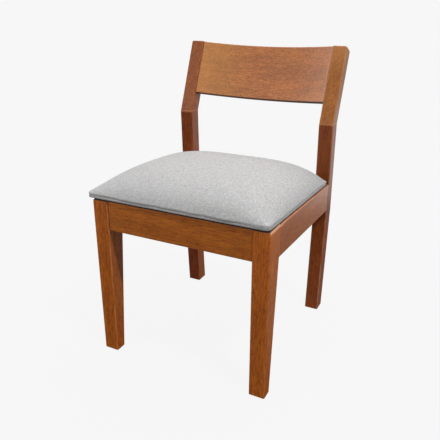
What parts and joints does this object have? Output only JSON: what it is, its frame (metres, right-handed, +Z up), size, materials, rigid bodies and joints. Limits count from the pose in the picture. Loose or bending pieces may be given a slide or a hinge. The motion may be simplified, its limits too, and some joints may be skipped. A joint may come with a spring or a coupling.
{
  "type": "choir chair",
  "caption": "Low-backed hardwood choir chair with raked rear posts, a curved backrest panel and a crowned grey cloth seat pad.",
  "frame": {"origin": "middle of the chair's bounding box in plan, on the floor under the leg soles", "axes": "+X to the right of a person who faces the chair, +Y towards the backrest, +Z up"},
  "size_m": [0.468, 0.5296, 0.7476],
  "materials": {
    "stained_wood": "orange-brown stain under satin lacquer",
    "backrest_wood": "lighter stained face veneer under satin lacquer",
    "plain_wood": "unfinished",
    "dowel_wood": "unfinished beech",
    "foam": "open-cell seat foam",
    "seat_cloth": "light grey heathered weave",
    "lining_cloth": "black non-woven lining",
    "steel": "zinc-plated fasteners"
  },
  "bodies": {
    "root": {"front_leg_left": "stained_wood", "front_leg_right": "stained_wood", "rear_post_left": "stained_wood", "rear_post_right": "stained_wood", "front_rail": "stained_wood", "rear_rail": "stained_wood", "side_rail_left": "stained_wood", "side_rail_right": "stained_wood", "backrest_panel": "backrest_wood", "front_rail_dowel_left_1": "dowel_wood", "front_rail_dowel_right_1": "dowel_wood", "front_rail_dowel_left_2": "dowel_wood", "front_rail_dowel_right_2": "dowel_wood", "rear_rail_dowel_left_1": "dowel_wood", "rear_rail_dowel_right_1": "dowel_wood", "rear_rail_dowel_left_2": "dowel_wood", "rear_rail_dowel_right_2": "dowel_wood", "side_rail_dowel_left_1": "dowel_wood", "side_rail_dowel_right_1": "dowel_wood", "side_rail_dowel_left_2": "dowel_wood", "side_rail_dowel_right_2": "dowel_wood", "side_rail_dowel_left_3": "dowel_wood", "side_rail_dowel_right_3": "dowel_wood", "side_rail_dowel_left_4": "dowel_wood", "side_rail_dowel_right_4": "dowel_wood", "backrest_dowel_left_1": "dowel_wood", "backrest_dowel_right_1": "dowel_wood", "backrest_dowel_left_2": "dowel_wood", "backrest_dowel_right_2": "dowel_wood", "backrest_dowel_left_3": "dowel_wood", "backrest_dowel_right_3": "dowel_wood", "corner_block_front_left": "plain_wood", "corner_block_front_right": "plain_wood", "block_screw_front_left_1": "steel", "block_screw_front_right_1": "steel", "block_screw_front_left_2": "steel", "block_screw_front_right_2": "steel", "seat_screw_front_left": "steel", "seat_screw_front_right": "steel", "corner_block_rear_left": "plain_wood", "corner_block_rear_right": "plain_wood", "block_screw_rear_left_1": "steel", "block_screw_rear_right_1": "steel", "block_screw_rear_left_2": "steel", "block_screw_rear_right_2": "steel", "seat_screw_rear_left": "steel", "seat_screw_rear_right": "steel", "seat_board": "plain_wood", "seat_foam": "foam", "seat_cover": "seat_cloth", "seat_lining": "lining_cloth", "seat_staple_1": "steel", "seat_staple_2": "steel", "seat_staple_3": "steel", "seat_staple_4": "steel", "seat_staple_5": "steel", "seat_staple_6": "steel", "seat_staple_7": "steel", "seat_staple_8": "steel"}
  },
  "joints": []
}
